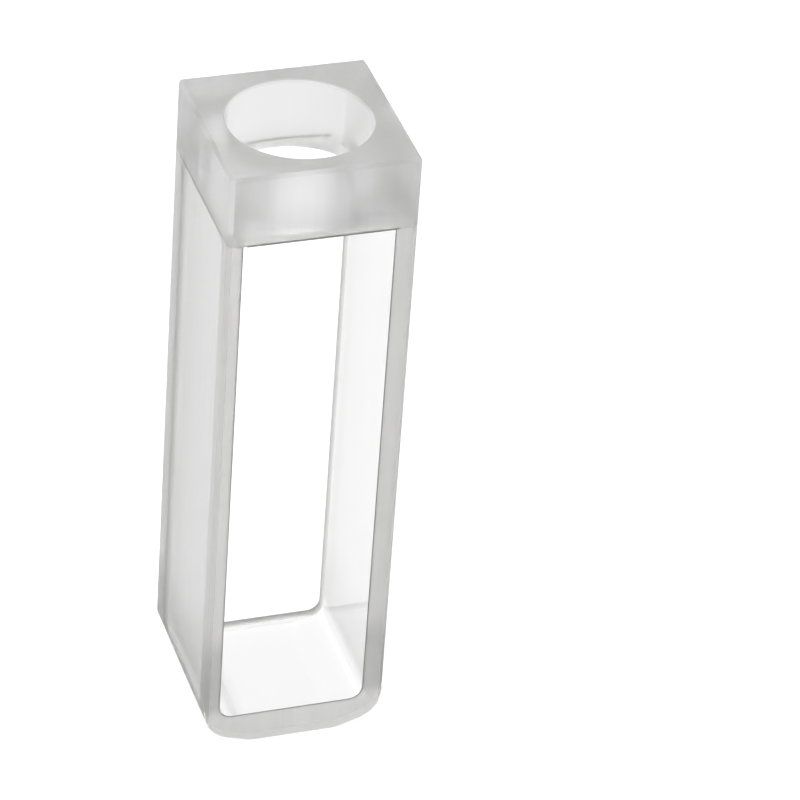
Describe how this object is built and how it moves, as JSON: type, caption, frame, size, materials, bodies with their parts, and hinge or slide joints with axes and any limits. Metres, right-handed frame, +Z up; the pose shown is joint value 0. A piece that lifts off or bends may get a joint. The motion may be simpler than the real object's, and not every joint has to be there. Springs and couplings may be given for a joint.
{
  "type": "cuvette",
  "caption": "Square glass sample cell with clear front and back windows, ground side walls and a thick collar bored for a stopper.",
  "frame": {"origin": "centre of the base, on the surface that the cell stands on", "axes": "+Z up along the cell towards the mouth; the clear windows face -Y (front) and +Y (back), the ground side walls face -X and +X"},
  "size_m": [0.0126, 0.0126, 0.045],
  "materials": {
    "quartz": "polished windows front and back; ground, translucent sides, floor and collar"
  },
  "bodies": {
    "root": {"cell": "quartz"}
  },
  "joints": []
}
